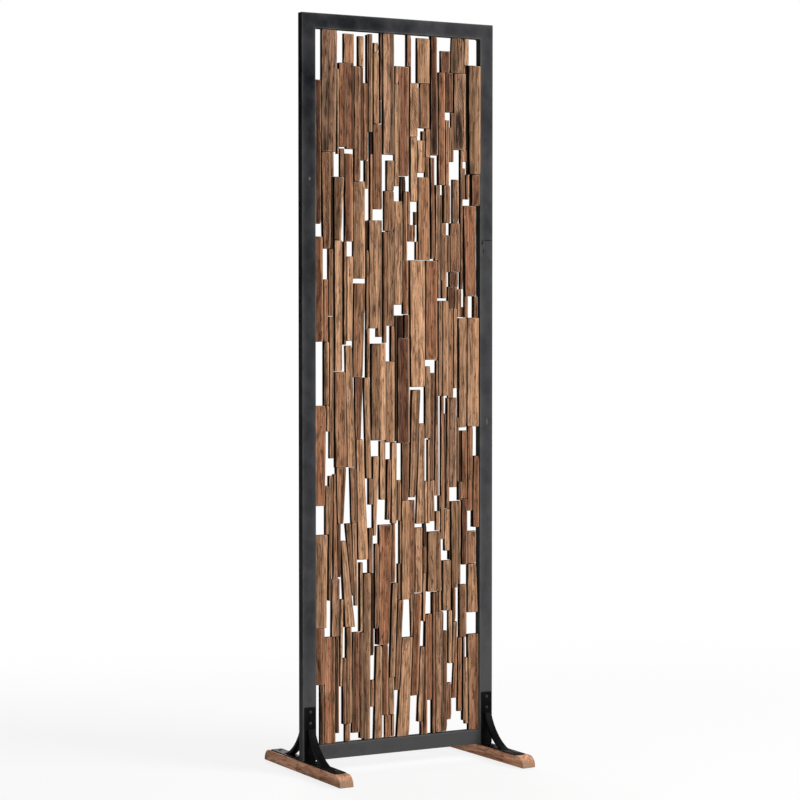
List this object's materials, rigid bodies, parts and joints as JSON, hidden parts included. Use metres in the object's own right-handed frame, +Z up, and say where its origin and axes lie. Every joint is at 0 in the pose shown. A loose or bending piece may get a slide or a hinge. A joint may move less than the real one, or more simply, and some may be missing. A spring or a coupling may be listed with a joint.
{
  "type": "room divider",
  "caption": "Free-standing room divider: a charcoal steel tube frame filled with a see-through mosaic of upright reclaimed wood strips, on wooden foot bars with curved strap brackets.",
  "frame": {"origin": "on the floor, midway between the outermost points of the two foot bars", "axes": "+X to the right along the frame as seen from the front, +Y to the rear, +Z up"},
  "size_m": [0.5878, 0.4512, 2],
  "materials": {
    "frame_steel": "satin charcoal powder coat, slightly blotchy",
    "bracket_steel": "satin black",
    "dark_screws": "black, slightly glossy",
    "zinc_screws": "zinc plated",
    "foot_wood": "oiled, reddish brown",
    "reclaimed_wood": "weathered and brushed, tan to dark brown",
    "glide_rubber": "matt"
  },
  "bodies": {
    "root": {"left_post": "frame_steel", "right_post": "frame_steel", "top_rail": "frame_steel", "bottom_rail": "frame_steel", "left_foot_bar": "foot_wood", "right_foot_bar": "foot_wood", "left_foot_plate": "bracket_steel", "right_foot_plate": "bracket_steel", "left_front_upright": "bracket_steel", "left_rear_upright": "bracket_steel", "right_front_upright": "bracket_steel", "right_rear_upright": "bracket_steel", "left_front_brace": "bracket_steel", "left_rear_brace": "bracket_steel", "right_front_brace": "bracket_steel", "right_rear_brace": "bracket_steel", "upright_screws": "dark_screws", "plate_screws": "dark_screws", "panel_screws": "zinc_screws", "foot_glides": "glide_rubber", "strips_01_left": "reclaimed_wood", "strips_01_middle": "reclaimed_wood", "strips_01_right": "reclaimed_wood", "strips_02_left": "reclaimed_wood", "strips_02_middle": "reclaimed_wood", "strips_02_right": "reclaimed_wood", "strips_03_left": "reclaimed_wood", "strips_03_middle": "reclaimed_wood", "strips_03_right": "reclaimed_wood", "strips_04_left": "reclaimed_wood", "strips_04_middle": "reclaimed_wood", "strips_04_right": "reclaimed_wood", "strips_05_left": "reclaimed_wood", "strips_05_middle": "reclaimed_wood", "strips_05_right": "reclaimed_wood", "strips_06_left": "reclaimed_wood", "strips_06_middle": "reclaimed_wood", "strips_06_right": "reclaimed_wood", "strips_07_left": "reclaimed_wood", "strips_07_middle": "reclaimed_wood", "strips_07_right": "reclaimed_wood", "strips_08_left": "reclaimed_wood", "strips_08_middle": "reclaimed_wood", "strips_08_right": "reclaimed_wood", "strips_09_left": "reclaimed_wood", "strips_09_middle": "reclaimed_wood", "strips_09_right": "reclaimed_wood", "strips_10_left": "reclaimed_wood", "strips_10_middle": "reclaimed_wood", "strips_10_right": "reclaimed_wood"}
  },
  "joints": []
}
